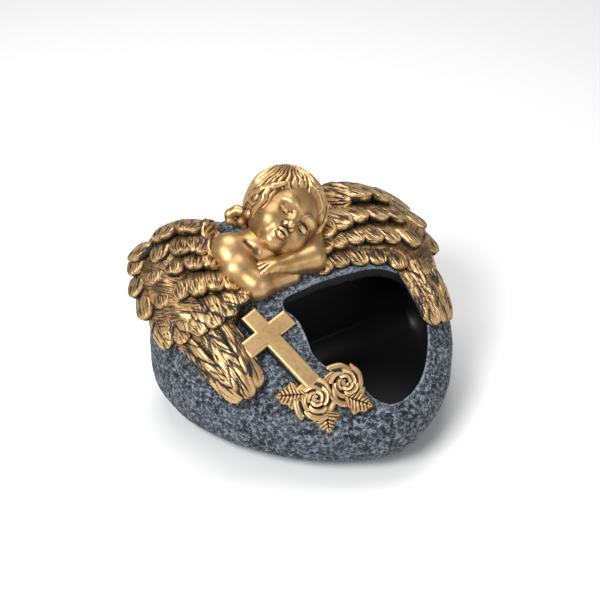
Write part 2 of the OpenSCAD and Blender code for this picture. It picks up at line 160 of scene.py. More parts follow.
class Field:
    """Signed distances on a grid, in set-out millimetres; negative is solid."""

    def __init__(self, lo, hi, h):
        self.lo, self.h = np.array(lo, float), h
        count = np.ceil((np.array(hi) - self.lo) / h).astype(int) + 1
        self.d = np.full(count, 40.0, np.float32)
        self.axes = [(self.lo[i] + h * np.arange(count[i])).astype(np.float32) for i in range(3)]

    def block(self, lo, hi):
        cut = []
        for i in range(3):
            a = max(0, int((lo[i] - self.lo[i]) / self.h))
            b = min(self.d.shape[i], int((hi[i] - self.lo[i]) / self.h) + 2)
            cut.append(slice(a, max(a, b)))
        x, y, z = (self.axes[i][cut[i]] for i in range(3))
        return tuple(cut), x[:, None, None], y[None, :, None], z[None, None, :]

    def cone(self, a, b, ra, rb, blend=0.0, cut=False):
        a, b = np.array(a, float), np.array(b, float)
        pad = max(ra, rb) + blend + 2.5 * self.h
        where, x, y, z = self.block(np.minimum(a, b) - pad, np.maximum(a, b) + pad)
        ab = b - a
        t = np.clip(((x - a[0]) * ab[0] + (y - a[1]) * ab[1] + (z - a[2]) * ab[2]) / max(ab @ ab, 1e-6), 0, 1)
        gap = np.sqrt((x - a[0] - t * ab[0]) ** 2 + (y - a[1] - t * ab[1]) ** 2 + (z - a[2] - t * ab[2]) ** 2)
        d = gap - (ra + (rb - ra) * t)
        self.d[where] = smax(self.d[where], -d, blend) if cut else smin(self.d[where], d, blend)

    def ball(self, c, r, blend=0.0, cut=False):
        self.cone(c, np.array(c) + [0, 0, 1e-3], r, r, blend, cut)

    def egg(self, c, axes, radii, blend=0.0, cut=False):
        """Ellipsoid with the given axis directions (rows) and radii."""
        c, radii = np.array(c, float), np.array(radii, float)
        pad = radii.max() + blend + 2.5 * self.h
        where, x, y, z = self.block(c - pad, c + pad)
        x, y, z = x - c[0], y - c[1], z - c[2]
        q = sum(((x * v[0] + y * v[1] + z * v[2]) / r) ** 2 for v, r in zip(axes, radii))
        g = sum(((x * v[0] + y * v[1] + z * v[2]) / (r * r)) ** 2 for v, r in zip(axes, radii))
        q = np.sqrt(q)
        d = q * (q - 1) / np.maximum(np.sqrt(g), 1e-4)
        self.d[where] = smax(self.d[where], -d, blend) if cut else smin(self.d[where], d, blend)

    def chain(self, points, radii, blend=0.0, cut=False):
        for a, b, ra, rb in zip(points, points[1:], radii, radii[1:]):
            self.cone(a, b, ra, rb, blend, cut)

    def mesh(self):
        far = 3 * self.h
        grid = openvdb.FloatGrid(far)
        grid.copyFromArray(np.clip(self.d, -far, far).astype(np.float32))
        points, quads = grid.convertToQuads(isovalue=0)
        points = np.asarray(points, float) * self.h + self.lo
        quads = np.asarray(quads, np.int64)
        a, b, c, d = (points[quads[:, i]] for i in range(4))
        volume = np.sum(np.cross(c - a, d - b) * (a + b + c + d))
        return points, (quads[:, ::-1] if volume < 0 else quads)


def vertex_normals(v, quads):
    n = np.cross(v[quads[:, 2]] - v[quads[:, 0]], v[quads[:, 3]] - v[quads[:, 1]])
    out = np.zeros_like(v)
    for i in range(4):
        for axis in range(3):
            out[:, axis] += np.bincount(quads[:, i], n[:, axis], len(v))
    return unit(out)


def spread(v, quads, passes):
    """Values averaged over their neighbours, passes times."""
    a = np.concatenate([quads[:, i] for i in range(4)])
    b = np.concatenate([quads[:, (i + 1) % 4] for i in range(4)])
    a, b = np.concatenate([a, b]), np.concatenate([b, a])
    count = np.maximum(np.bincount(a, minlength=len(v)), 1)
    v = np.asarray(v, float)
    flat = v.ndim == 1
    v = v[:, None] if flat else v
    for _ in range(passes):
        v = np.stack([np.bincount(a, v[b, i], len(v)) for i in range(v.shape[1])], -1) / count[:, None]
    return v[:, 0] if flat else v


def hollowness(v, quads, normals, passes):
    """How far a vertex lies below its smoothed surroundings, in millimetres."""
    return np.sum((spread(v, quads, passes) - v) * normals, axis=1)


# ---------------------------------------------------------------- Blender helpers
def build(name, verts, quads, material, layers=None, node=(), at=True):
    mesh = bpy.data.meshes.new(name)
    verts = place(verts) if at else np.asarray(verts, float)
    quads = np.asarray(quads, np.int64)
    mesh.vertices.add(len(verts))
    mesh.vertices.foreach_set("co", verts.astype(np.float32).ravel())
    mesh.loops.add(quads.size)
    mesh.loops.foreach_set("vertex_index", quads.astype(np.int32).ravel())
    mesh.polygons.add(len(quads))
    mesh.polygons.foreach_set("loop_start", np.arange(0, quads.size, quads.shape[1], dtype=np.int32))
    mesh.polygons.foreach_set("loop_total", np.full(len(quads), quads.shape[1], np.int32))
    mesh.update(calc_edges=True)
    mesh.validate()
    mesh.polygons.foreach_set("use_smooth", np.ones(len(mesh.polygons), bool))
    for layer, values in (layers or {}).items():
        attribute = mesh.attributes.new(layer, "FLOAT", "POINT")
        attribute.data.foreach_set("value", np.asarray(values, np.float32))
    mesh.materials.append(material)
    obj = bpy.data.objects.new(name, mesh)
    bpy.context.scene.collection.objects.link(obj)
    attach(obj, "root")
    if node:
        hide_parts(*node)
    return obj


class Nodes:
    """Short hand for a material's node tree."""

    def __init__(self, name):
        self.material = bpy.data.materials.new(name)
        self.material.use_nodes = True
        self.tree = self.material.node_tree
        self.tree.nodes.clear()
        self.shader = self.add("ShaderNodeBsdfPrincipled")
        out = self.add("ShaderNodeOutputMaterial")
        self.link(self.shader.outputs[0], out.inputs[0])
        self.coords = self.add("ShaderNodeTexCoord").outputs["Object"]

    def add(self, kind, **settings):
        node = self.tree.nodes.new(kind)
        for key, value in settings.items():
            setattr(node, key, value)
        return node

    def link(self, a, b):
        self.tree.links.new(a, b)

    def noise(self, scale, detail=4.0, rough=0.55, stretch=None, distort=0.0):
        node = self.add("ShaderNodeTexNoise")
        node.inputs["Scale"].default_value = scale
        node.inputs["Detail"].default_value = detail
        node.inputs["Roughness"].default_value = rough
        node.inputs["Distortion"].default_value = distort
        source = self.coords
        if stretch:
            mapping = self.add("ShaderNodeMapping")
            mapping.inputs["Scale"].default_value = stretch
            self.link(source, mapping.inputs[0])
            source = mapping.outputs[0]
        self.link(source, node.inputs["Vector"])
        return node.outputs[0]

    def cells(self, scale, feature="F1"):
        node = self.add("ShaderNodeTexVoronoi", feature=feature)
        node.inputs["Scale"].default_value = scale
        self.link(self.coords, node.inputs["Vector"])
        return node.outputs["Distance"]

    def layer(self, name):
        return self.add("ShaderNodeAttribute", attribute_name=name).outputs["Fac"]

    def math(self, kind, a, b=None, c=None, clamp=False):
        node = self.add("ShaderNodeMath", operation=kind, use_clamp=clamp)
        for i, value in enumerate((a, b, c)):
            if value is None:
                continue
            if isinstance(value, (int, float)):
                node.inputs[i].default_value = value
            else:
                self.link(value, node.inputs[i])
        return node.outputs[0]

    def remap(self, value, lo, hi, out_lo=0.0, out_hi=1.0):
        node = self.add("ShaderNodeMapRange", interpolation_type="SMOOTHSTEP")
        self.link(value, node.inputs[0])
        for i, number in enumerate((lo, hi, out_lo, out_hi)):
            node.inputs[i + 1].default_value = number
        return node.outputs[0]

    def mix(self, fac, a, b):
        node = self.add("ShaderNodeMix", data_type="RGBA")
        for socket, value in ((node.inputs[0], fac), (node.inputs[6], a), (node.inputs[7], b)):
            if isinstance(value, (int, float)):
                socket.default_value = value
            elif isinstance(value, tuple):
                socket.default_value = (*value, 1.0)
            else:
                self.link(value, socket)
        return node.outputs[2]

    def bump(self, height, distance, strength=1.0):
        node = self.add("ShaderNodeBump")
        node.inputs["Strength"].default_value = strength
        node.inputs["Distance"].default_value = distance
        self.link(height, node.inputs["Height"])
        self.link(node.outputs[0], self.shader.inputs["Normal"])

    def set(self, **sockets):
        for name, value in sockets.items():
            socket = self.shader.inputs[name.replace("_", " ")]
            if isinstance(value, (int, float)):
                socket.default_value = value
            elif isinstance(value, tuple):
                socket.default_value = (*value, 1.0)
            else:
                self.link(value, socket)


# ---------------------------------------------------------------- materials
# GOLD_DEEP and the black below are painted shade in hollows, gaps and under overlapping parts, as well as the
# real black wash
GOLD_DEEP = (0.130, 0.060, 0.016)
GOLD_MID = (0.37, 0.215, 0.080)
GOLD_PALE = (0.72, 0.48, 0.235)
BLACK_WASH_AND_SHADE = (0.004, 0.005, 0.007)


def gold_material(name, pale=0.5, strokes=0.0):
    """Antique gold paint; its wash layer holds where black wash was left behind and also painted shade
    in hollows, gaps, covered parts and undersides; "along", "across" and "seed" run with a feather's cut
    strokes."""
    m = Nodes(name)
    cloud = m.noise(55.0, 4.0)
    grain = m.noise(1100.0, 3.0, 0.6)
    speck = m.noise(420.0, 4.0, 0.7)
    wash_and_shade = m.layer("wash_and_shade")
    wash_and_shade_amount = m.math("ADD", wash_and_shade, m.remap(speck, 0.3, 0.75, -0.14, 0.14))
    relief = m.math("ADD", m.math("MULTIPLY", grain, 0.25), m.math("MULTIPLY", speck, 0.5))
    if strokes:
        lanes = m.add("ShaderNodeCombineXYZ")
        m.link(m.math("MULTIPLY", m.layer("across"), 9.0), lanes.inputs[0])
        m.link(m.math("MULTIPLY", m.layer("along"), 1.6), lanes.inputs[1])
        m.link(m.layer("seed"), lanes.inputs[2])
        cuts = m.add("ShaderNodeTexNoise")
        cuts.inputs["Scale"].default_value = 1.0
        cuts.inputs["Detail"].default_value = 3.0
        m.link(lanes.outputs[0], cuts.inputs["Vector"])
        cut = m.remap(cuts.outputs[0], 0.50, 0.37)
        wash_and_shade_amount = m.math("ADD", wash_and_shade_amount, m.math("MULTIPLY", cut, strokes))
        relief = m.math("SUBTRACT", relief, m.math("MULTIPLY", cut, 2.5))
    # black, and the deeper gold around it: painted shade together with the real black wash
    black = m.remap(wash_and_shade_amount, 0.30, 0.62)
    wash_and_shade_halo = m.remap(wash_and_shade_amount, -0.06, 0.40)
    worn = m.remap(wash_and_shade, -0.05, -0.5)
    gold = m.mix(m.remap(cloud, 0.3, 0.7, pale * 0.5, 0.5 + pale * 0.5), GOLD_MID, GOLD_PALE)
    gold = m.mix(worn, gold, GOLD_PALE)
    gold = m.mix(m.math("MULTIPLY", wash_and_shade_halo, 0.8), gold, GOLD_DEEP)
    m.set(Base_Color=m.mix(black, gold, BLACK_WASH_AND_SHADE),
          Metallic=m.remap(black, 0.0, 1.0, 0.85, 0.0),
          Roughness=m.math("ADD", m.remap(black, 0.0, 1.0, 0.38, 0.62),
                           m.remap(grain, 0.3, 0.7, -0.04, 0.06)))
    m.bump(relief, 0.00014)
    return m.material


def stone_material():
    """Grey-blue dry-brushed stone; "pit" marks its craters, "black" the painted hollow."""
    m = Nodes("pitted_stone")
    pit, black = m.layer("pit"), m.layer("black")
    coarse = m.noise(430.0, 5.0, 0.72)
    fine = m.noise(1500.0, 4.0, 0.7)
    craters = m.remap(m.cells(360.0), 0.34, 0.10)
    patch = m.remap(m.noise(120.0, 3.0), 0.42, 0.60)
    tint = m.noise(28.0, 3.0)
    height = m.math("ADD", m.math("MULTIPLY", coarse, 0.6), m.math("MULTIPLY", fine, 0.4))
    height = m.math("SUBTRACT", height, m.math("MULTIPLY", pit, 0.26))
    height = m.math("SUBTRACT", height, m.math("MULTIPLY", m.math("MULTIPLY", craters, patch), 0.30))
    body = m.mix(m.remap(tint, 0.35, 0.65), (0.030, 0.038, 0.050), (0.055, 0.068, 0.086))
    brushed = m.mix(m.remap(height, 0.47, 0.57), body, (0.27, 0.315, 0.37))
    dark = m.mix(m.remap(height, 0.44, 0.38), brushed, (0.004, 0.005, 0.007))
    shiny = m.remap(black, 0.25, 0.75)
    m.set(Base_Color=m.mix(shiny, dark, (0.0015, 0.0015, 0.0018)),
          Roughness=m.math("ADD", m.remap(shiny, 0.0, 1.0, 0.74, 0.52), m.remap(fine, 0.3, 0.7, -0.04, 0.04)))
    m.bump(m.math("MULTIPLY", height, m.remap(shiny, 0.0, 1.0, 1.0, 0.05)), 0.0014)
    return m.material


def black_material(name, roughness, tone, dust):
    m = Nodes(name)
    cloud = m.noise(40.0, 4.0)
    grain = m.noise(1500.0, 3.0)
    lacquer, dusty = (tone, tone, tone * 1.1), (0.05, 0.05, 0.055)
    m.set(Base_Color=m.mix(m.remap(cloud, 0.35, 0.75, 0.0, dust), lacquer, dusty),
          Roughness=m.math("ADD", m.remap(cloud, 0.3, 0.7, roughness - 0.05, roughness + 0.07),
                           m.remap(grain, 0.3, 0.7, -0.03, 0.03)))
    m.bump(grain, 0.00004)
    return m.material


GOLD = gold_material("antique_gold_feathers", 0.9, 0.55)
GOLD_SKIN = gold_material("antique_gold_skin", 0.0)
GOLD_FLAT = gold_material("antique_gold_cross", 0.8)
STONE = stone_material()
FLOOR_BLACK = black_material("black_lacquer_floor", 0.30, 0.004, 0.35)
RUBBER = black_material("black_rubber_feet", 0.75, 0.012, 0.2)


# ---------------------------------------------------------------- stone bowl
OPENING = [(-31, -17), (-27, -11.5), (-14, -11), (2, -11), (18, -12), (33, -13), (46, -17), (54, -25),
           (54, -37), (47, -52), (36, -66), (23, -77), (10, -83), (-2, -84), (-10, -78), (-14, -69),
           (-23, -58), (-29.5, -46), (-28, -35), (-27.5, -25)]
HOLLOW_BACK = 6.0


def closed_spline(points, per):
    p = np.array(points, float)
    a, b, c, d = (np.roll(p, s, axis=0) for s in (1, 0, -1, -2))
    out = []
    for s in np.arange(per) / per:
        out.append(0.5 * (2 * b + (c - a) * s + (2 * a - 5 * b + 4 * c - d) * s ** 2
                          + (3 * b - a - 3 * c + d) * s ** 3))
    return np.stack(out, 1).reshape(-1, 2)


def distance_to_loop(x, y, loop):
    """Signed distance in plan, negative inside the loop."""
    best, inside = np.full(x.shape, 1e9), np.zeros(x.shape, bool)
    for a, b in zip(loop, np.roll(loop, -1, axis=0)):
        e = b - a
        t = np.clip(((x - a[0]) * e[0] + (y - a[1]) * e[1]) / (e @ e), 0, 1)
        best = np.minimum(best, (x - a[0] - t * e[0]) ** 2 + (y - a[1] - t * e[1]) ** 2)
        crosses = (a[1] > y) != (b[1] > y)
        with np.errstate(divide="ignore", invalid="ignore"):
            inside ^= crosses & (x < e[0] * (y - a[1]) / (e[1] if e[1] else 1e-9) + a[0])
    return np.where(inside, -1, 1) * np.sqrt(best)


def heart_values(x, y, z):
    """The heart above its widest level and below it, zero on the surface."""
    dy = y - CENTRE_Y
    s = np.hypot(x, dy) / outline(np.arctan2(x, dy))
    up = np.maximum(z - BELLY_Z, 0) / lift(y)
    down = np.maximum(BELLY_Z - z, 0) / (BELLY_Z - FOOT_TOP)
    above = (s ** TOP_POWER + up ** TOP_POWER) ** (1 / TOP_POWER) - 1
    out = np.maximum(s - BASE_SHARE, 0) / (1 - BASE_SHARE)
    below = ((out ** BASE_POWER + down ** BASE_POWER) ** (1 / BASE_POWER) - 1) * (1 - BASE_SHARE)
    return above, below


def heart_grid(x, y, z, h):
    """Distance to the heart on a whole grid."""
    scaled = []
    for value in heart_values(x, y, z):
        slope = np.sqrt(sum(g ** 2 for g in np.gradient(value, h)))
        scaled.append(value / np.maximum(slope, 0.004))
    return np.where(z >= BELLY_Z, *scaled)


def heart_distance(x, y, z):
    """Distance to the heart at single points."""
    e, scaled = 0.4, []
    slopes = [0, 0]
    for axis in np.eye(3):
        ahead = heart_values(*(c + e * d for c, d in zip((x, y, z), axis)))
        behind = heart_values(*(c - e * d for c, d in zip((x, y, z), axis)))
        slopes = [g + ((p - q) / (2 * e)) ** 2 for g, p, q in zip(slopes, ahead, behind)]
    for value, slope in zip(heart_values(x, y, z), slopes):
        scaled.append(value / np.maximum(np.sqrt(slope), 0.004))
    return np.where(z >= BELLY_Z, *scaled)


def make_bowl():
    voxel = 0.8
    f = Field((-98, -100, -1), (98, 74, 108), voxel)
    x, y, z = f.axes[0][:, None, None], f.axes[1][None, :, None], f.axes[2][None, None, :]
    x, y, z = (np.broadcast_to(a, f.d.shape).astype(np.float32) for a in (x, y, z))
    outer = heart_grid(x, y, z, voxel)
    plan = distance_to_loop(x[:, :, 0].astype(float), y[:, :, 0].astype(float), closed_spline(OPENING, 6))
    mouth = np.maximum(plan[:, :, None].astype(np.float32), 30.0 - z)
    back = smax(outer + WALL, y - HOLLOW_BACK, 22.0)
    hollow = smax(back, PLATE_TOP + 0.4 - z, 7.0)
    f.d = smax(outer, -np.minimum(hollow, mouth), 2.4)
    recess = np.maximum(smax(outer + WALL - 3.3, y - HOLLOW_BACK - 3.3, 4.0), z - PLATE_TOP + 2.2)
    f.d = np.maximum(f.d, -recess).astype(np.float32)
    v, q = f.mesh()
    depth = heart_distance(v[:, 0], v[:, 1], v[:, 2])
    black = step(-1.6, -3.4, depth)
    mouth_gap = distance_to_loop(v[:, 0], v[:, 1], closed_spline(OPENING, 6))
    rim = np.exp(-(np.maximum(mouth_gap - 0.3, 0) / 1.3) ** 2) * (v[:, 2] > 35)
    n = vertex_normals(v, q)
    warp = v + 1.3 * np.stack([value_noise(v, 2.6, s) for s in (11, 12, 13)], -1)
    fineness = step(55, 85, v[:, 2])
    big = step(0.50, 0.20, cell_noise(warp, 3.3, 3)) * step(0.35, 0.6, value_noise(v, 5.0, 5))
    small = step(0.42, 0.16, cell_noise(warp, 2.0, 7))
    rough = value_noise(v, 1.9, 21) - 0.5
    swell = value_noise(v, 15.0, 31) - 0.5
    pit = np.clip(big * (1 - 0.6 * fineness) + 0.75 * small, 0, 1)
    calm = (1 - black) * (1 - 0.8 * rim) * step(FOOT_TOP + 0.2, FOOT_TOP + 3, v[:, 2])
    move = (0.55 * rough + 1.0 * swell - 0.55 * pit - 0.3) * calm
    v = v + n * move[:, None]
    pit = 0.6 * pit * calm + 0.4 * np.maximum(-rough, 0) * calm - 0.22 * rim * (1 - black)
    build("bowl_in_pitted_stone", v, q, STONE, {"pit": pit, "black": black}, ("stone_bowl",))


# ---------------------------------------------------------------- feathers
def through(p, s):
    p = np.array(p, float)
    return (1 - s) * (1 - 2 * s) * p[0] + 4 * s * (1 - s) * p[1] + s * (2 * s - 1) * p[2]


BEND = 75.0


def feather(quill, tip, row_way, width, thick, rng, long=False):
    """A closed plate with a rounded tip, a domed face and cut strokes; black wash lies in the cut strokes,
    and painted shade darkens the part the row above covers, the sides, the tip edge and the underside."""
    run = tip - quill
    length = np.linalg.norm(run)
    run = run / length
    side = unit(row_way - run * (row_way @ run))
    out = np.cross(side, run)
    if out @ (tip - CORE) < 0:
        out = -out
    cap = min((0.75 if long else 0.56) * width / length, 0.6)
    body, bend = (30, 14) if long else (16, 16)
    theta = np.linspace(0, math.pi / 2, bend + 1)[1:]
    u = np.concatenate([np.linspace(0, 1 - cap, body), 1 - cap + cap * np.sin(theta)])
    root = 0.75 if long else 0.80
    shape = np.concatenate([root + (1 - root) * np.sin(np.linspace(0, 1, body) * math.pi / 2),
                            np.maximum(np.cos(theta), 0.04)])
    v = np.sin(np.linspace(-1, 1, 34) * math.pi / 2)
    U, V = np.meshgrid(u, v, indexing="ij")
    half = shape[:, None] * width / 2 * (1 + 0.03 * np.sin(U * 21 + rng.uniform(0, 6)) * np.abs(V))
    turn = rng.uniform(-0.04, 0.04) * width
    groove = np.zeros_like(U)
    if long:
        shaft = np.exp(-((V - 0.06 * np.sin(U * 5)) / 0.06) ** 2)
        groove += 0.8 * shaft * step(0.02, 0.2, U) * step(0.98, 0.85, U)
        for j in range(16):
            u0, reach, way = rng.uniform(0.0, 0.85), rng.uniform(0.12, 0.26), 1 if j % 2 else -1
            t = (U - u0) / reach
            barb = np.exp(-((V - way * (0.12 + 0.8 * t)) / 0.075) ** 2) * (t > 0) * (t < 1.05)
            groove += rng.uniform(0.4, 1.0) * barb
    else:
        count = int(rng.integers(5, 8))
        for j in range(count):
            lane = (-0.84 + 1.68 * (j + 0.5) / count + rng.uniform(-0.07, 0.07)) * (0.62 + 0.42 * U)
            a, b = rng.uniform(0.30, 0.60), rng.uniform(0.84, 1.0)
            groove += (rng.uniform(0.4, 1.0) * np.exp(-((V - lane) / 0.06) ** 2)
                       * step(a, a + 0.15, U) * step(b, b - 0.14, U))
    groove = np.clip(groove, 0, 1.1)
    tip_fall = np.concatenate([np.ones(body), np.maximum(np.cos(theta), 0.0) ** 0.55])[:, None]
    dome = thick * (0.55 + 0.30 * np.sqrt(np.clip(1 - 0.92 * V ** 2, 0, 1))) * (0.45 + 0.55 * tip_fall)
    tilt = thick * (0.55 * U - 0.75)
    roll = 0.55 * V * (0 if long else 1) - 0.9 * step(0.80, 1.0, np.abs(V)) * step(1.0, 0.85, U)
    face = dome + tilt + roll - 0.5 * groove * min(1.0, thick / 2.4) + 0.06 * thick * np.sin(V * 17 + 3 * U)
    under = tilt - thick * 0.55

    def lay(height):
        flat = (quill + run * (U * length)[..., None] + side * (V * half + turn * U ** 2)[..., None])
        arch = length ** 2 * U * (1 - U) / (2 * BEND) - (V * half) ** 2 / (2 * BEND)
        return flat + out * (height + arch)[..., None]

    points = np.concatenate([lay(face).reshape(-1, 3), lay(under).reshape(-1, 3)])
    quads = plate_quads(*U.shape, points)
    shown = 46.0 if long else 21.0
    # painted shade: dark where the row above covers this feather, along its sides, at the tip edge and on the
    # underside; real black wash in the cut strokes; paler towards the tip
    wash_and_shade = (np.clip(groove, 0, 1) + 0.7 * step(shown, shown + 7, (1 - U) * length)
            + 0.75 * step(0.86, 1.0, np.abs(V)) * step(1.02, 0.80, U) + 0.5 * step(0.975, 1.0, U)
            - 0.30 * step(0.45, 0.95, U) * (1 - np.clip(groove * 2, 0, 1)))
    seed = rng.uniform(0, 50)
    return points, quads, {"wash_and_shade": np.concatenate([wash_and_shade.ravel(), np.full(U.size, 0.7)]),
                           "along": np.tile((U * length / 20).ravel(), 2),
                           "across": np.tile(((V * (0.75 + 0.3 * U)) * half.max() / 10).ravel(), 2),
                           "seed": np.full(2 * U.size, seed)}


def plate_quads(nu, nv, points):
    """Faces of a closed plate: a grid above, a grid below and a band around them."""
    idx = np.arange(nu * nv).reshape(nu, nv)
    low = idx + nu * nv
    quads = [np.stack([idx[:-1, :-1], idx[1:, :-1], idx[1:, 1:], idx[:-1, 1:]], -1).reshape(-1, 4),
             np.stack([low[:-1, :-1], low[:-1, 1:], low[1:, 1:], low[1:, :-1]], -1).reshape(-1, 4)]
    ring = np.concatenate([idx[0, :], idx[1:, -1], idx[-1, -2::-1], idx[-2:0:-1, 0]])
    nxt = np.roll(ring, -1)
    quads.append(np.stack([ring, nxt, nxt + nu * nv, ring + nu * nv], -1))
    return outward(points, np.concatenate(quads))


def outward(points, quads):
    a, b, c, d = (points[quads[:, i]] for i in range(4))
    volume = np.sum(np.cross(c - a, d - b) * (a + b + c + d - 4 * points.mean(0)))
    return quads[:, ::-1] if volume < 0 else quads


def merge(parts):
    """Joins (points, quads, layers) parts; layers are dictionaries of vertex values."""
    verts, quads, layers, base = [], [], {}, 0
    for v, q, values in parts:
        verts.append(v)
        quads.append(q + base)
        for key, value in values.items():
            layers.setdefault(key, []).append(value)
        base += len(v)
    return np.concatenate(verts), np.concatenate(quads), {k: np.concatenate(v) for k, v in layers.items()}


# Rows from the trailing side to the leading edge: node, count, quills, tips (first,
# middle, last), width, thickness, long feathers or not.
LEFT_ROWS = [
    ("scapulars", 4, [(-40, 40, 108), (-58, 54, 114), (-80, 60, 103)],
     [(-54, 31, 111), (-69, 40, 115), (-91, 53, 97)], 25, 3.4, False),
    ("lesser_coverts", 5, [(-44, 34, 106), (-64, 42, 112), (-86, 58, 98)],
     [(-57, 18, 105), (-73, 28, 110), (-93, 48, 91)], 20, 3.0, False),
    ("median_coverts", 6, [(-42, 24, 101), (-68, 32, 107), (-92, 50, 89)],
     [(-52, 11, 99.5), (-75, 19, 104), (-97, 39, 83)], 18, 3.0, False),
    ("greater_coverts", 7, [(-40, 10, 92), (-69, 19, 101), (-94, 40, 84)],
     [(-47, -3, 90.5), (-74, 4, 97), (-98, 25, 75)], 18, 3.0, False),
    ("secondaries", 6, [(-50, 12, 92), (-76, 12, 92), (-95, 24, 76)],
     [(-56, -12, 91), (-78, -14, 83), (-95, 4, 67)], 16, 2.6, True),
    ("primaries", 3, [(-69, -12, 84), (-79, -8, 80), (-89, -2, 73)],
     [(-67.5, -45.5, 59), (-72.5, -47.5, 57), (-77, -44.5, 54)], 13, 2.6, True)]
RIGHT_ROWS = [
    ("scapulars", 4, [(32, 40, 108), (54, 43, 107), (82, 50, 91)],
     [(43, 22, 107), (62, 19, 104), (91, 26, 82)], 23, 3.4, False),
    ("lesser_coverts", 6, [(12, 26, 102), (46, 26, 104), (84, 24, 88)],
     [(18, 4, 102), (48, 5, 102), (87, 4, 82)], 18, 3.0, False),
    ("median_coverts", 7, [(8, 14, 98), (42, 11, 99), (84, 6, 82)],
     [(12, -2, 97), (42, -8, 95), (83, -13, 74)], 16, 3.0, False),
    ("greater_coverts", 6, [(4, 6, 93), (34, 2, 93), (68, -8, 80)],
     [(4, -12, 89), (33, -15, 86), (61, -28, 74)], 16, 2.8, False),
    ("primaries", 3, [(55, -16, 78), (65, -15, 78), (77, -10, 72)],
     [(52, -54, 57), (58, -53, 56.5), (64, -50, 54)], 12, 2.6, True)]


def make_rows(side, rows, seed):
    rng = np.random.default_rng(seed)
    for name, count, quills, tips, width, thick, long in rows:
        parts = []
        line = np.array([through(tips, s) for s in np.linspace(0, 1, 12)])
        pitch = np.linalg.norm(np.diff(line, axis=0), axis=1).sum() / (count - 1)
        short = 1.12 if long else 1.0
        for i in range(count):
            s = i / (count - 1)
            quill, tip = through(quills, s), through(tips, s) + rng.uniform(-1, 1, 3) * 0.7
            quill = tip + (quill - tip) * short
            quill -= unit(quill - CORE) * (1.5 if long else 1.0)
            tip += unit(tip - CORE) * 0.4
            w = (width if long else pitch * 1.12) * rng.uniform(0.96, 1.06)
            row_way = through(tips, s + 0.05) - through(tips, s - 0.05)
            parts.append(feather(quill, tip, row_way, w, thick, rng, long))
        v, q, layers = merge(parts)
        build(f"{side}_wing_{name}_engraved", v, q, GOLD, layers, (f"{side}_wing_{name}",))


LEFT_RIBS = [
    [(-32, 50, 102), (-38, 38, 108), (-44, 27, 104)],
    [(-52, 58, 107), (-55, 42, 111), (-49, 26, 102)],
    [(-70, 57, 105), (-68, 38, 107), (-54, 16, 96)],
    [(-85, 50, 96), (-78, 28, 100), (-53, 3, 90)],
    [(-92, 38, 84), (-84, 16, 91), (-58, -6, 87)],
    [(-93, 22, 74), (-85, 4, 84), (-65, -12, 83)],
    [(-90, 6, 67), (-82, -8, 77), (-69, -18, 78)],
    [(-84, -20, 61), (-79, -22, 67), (-68, -28, 70)],
    [(-74, -43, 52), (-71, -44, 55), (-66, -43, 58)]]
RIGHT_RIBS = [
    [(28, 48, 104), (26, 36, 106), (18, 14, 100)],
    [(48, 56, 98), (46, 38, 103), (28, 0, 93)],
    [(66, 55, 94), (60, 32, 100), (40, -4, 90)],
    [(81, 45, 85), (74, 24, 92), (50, -7, 87)],
    [(89, 28, 76), (82, 10, 85), (57, -11, 83)],
    [(91, 10, 70), (82, -4, 79), (62, -18, 77)],
    [(85, -8, 63), (76, -16, 73), (62, -28, 71)],
    [(73, -31, 58), (67, -36, 62), (60, -38, 64)],
    [(63, -50, 53), (59, -51, 54.5), (55, -50, 56)]]


def open_spline(points, count):
    p = np.array(points, float)
    p = np.concatenate([[2 * p[0] - p[1]], p, [2 * p[-1] - p[-2]]])
    out = []
    for w in np.linspace(0, len(p) - 3 - 1e-6, count):
        i, s = int(w), w - int(w)
        a, b, c, d = p[i:i + 4]
        out.append(0.5 * (2 * b + (c - a) * s + (2 * a - 5 * b + 4 * c - d) * s ** 2
                          + (3 * b - a - 3 * c + d) * s ** 3))
    return np.array(out)


def make_blade(side, ribs):
    """The rounded blade under the feathers, sunk into the stone."""
    stations, around = 90, 24
    lead, mid, trail = (open_spline([r[i] for r in ribs], stations) for i in range(3))
    rings = []
    for j in range(stations):
        s = j / (stations - 1)
        r = 2.6 * (1 - 0.4 * s)
        section = open_spline([lead[j], mid[j], trail[j]], around)
        out = unit(section - CORE)
        along = unit(section[-1] - section[0])
        top = section + out * r
        front = [section[0] - along * r * math.sin(a) + out[0] * r * math.cos(a) for a in (1.4, 0.9, 0.45)]
        rear = [section[-1] + along * r * math.sin(a) + out[-1] * r * math.cos(a) for a in (0.45, 0.9, 1.4)]
        low_a, low_b = section[0] - out[0] * 12, section[-1] - out[-1] * (12 if side == "left" else 4)
        rings.append(np.array([low_a, *front, *top, *rear, low_b]))
    rings = np.array(rings)
    n = rings.shape[1]
    idx = np.arange(stations * n).reshape(stations, n)
    nxt = np.roll(idx, -1, axis=1)
    quads = np.stack([idx[:-1], nxt[:-1], nxt[1:], idx[1:]], -1).reshape(-1, 4)
    verts = rings.reshape(-1, 3)
    ends = []
    for ring in (idx[0], idx[-1][::-1]):
        for i in range(1, n // 2):
            ends.append([ring[i - 1], ring[n - i], ring[n - i - 1], ring[i]])
    quads = np.concatenate([quads, np.array(ends)])
    quads = outward(verts, quads)
    # painted shade: the blade is dark under a mottled wash so the gaps between feathers read as shadow
    wash_and_shade = 0.22 + 0.5 * (value_noise(verts, 4.0, 9) - 0.5)
    across = np.tile(np.arange(n) * 0.12, stations)
    along = np.repeat(np.arange(stations) * 0.22, n)
    layers = {"wash_and_shade": wash_and_shade, "along": across, "across": along, "seed": np.full(len(verts), 3.0)}
    build(f"{side}_wing_blade_under_feathers", verts, quads, GOLD, layers,
          (f"{side}_wing_blade",))


